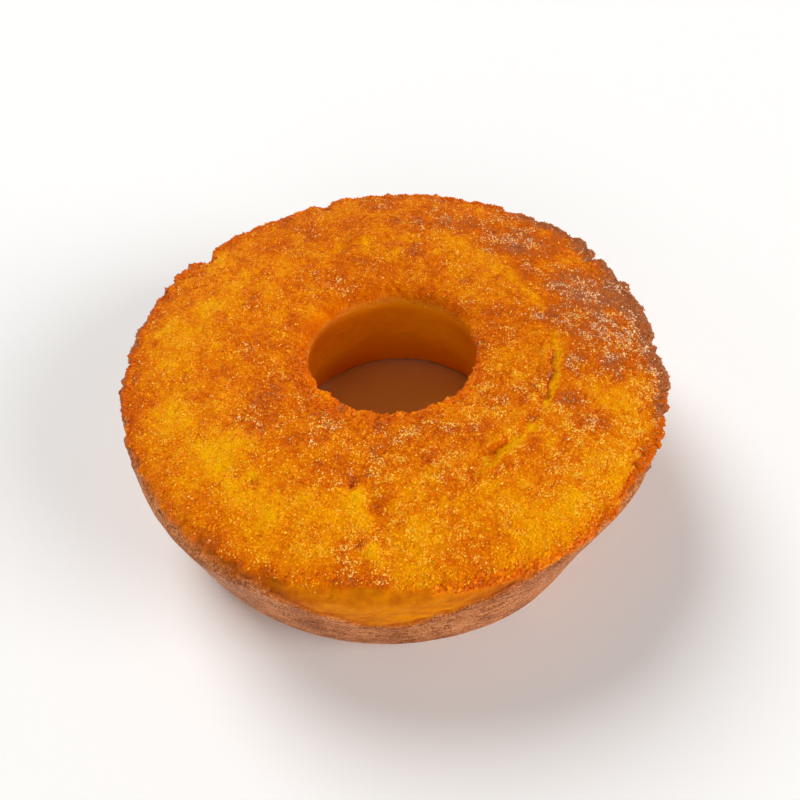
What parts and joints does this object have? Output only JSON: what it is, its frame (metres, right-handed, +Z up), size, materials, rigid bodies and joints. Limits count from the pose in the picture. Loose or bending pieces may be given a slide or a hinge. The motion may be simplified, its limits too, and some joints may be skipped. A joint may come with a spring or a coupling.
{
  "type": "ring corn cake",
  "caption": "Round ring-shaped corn cake with a tapered centre hole, a coarse browned top and smooth pan-baked sides; rests on its flat base.",
  "frame": {"origin": "middle of the flat base, under the centre of the cake's box", "axes": "+Z up out of the risen top; the cake is a ring round +Z"},
  "size_m": [0.2388, 0.2388, 0.0703],
  "materials": {
    "baked_corn_cake": "coarse golden and orange crumb on top, smooth orange-brown pan crust on the walls and base"
  },
  "bodies": {
    "root": {"corn_cake": "baked_corn_cake"}
  },
  "joints": []
}
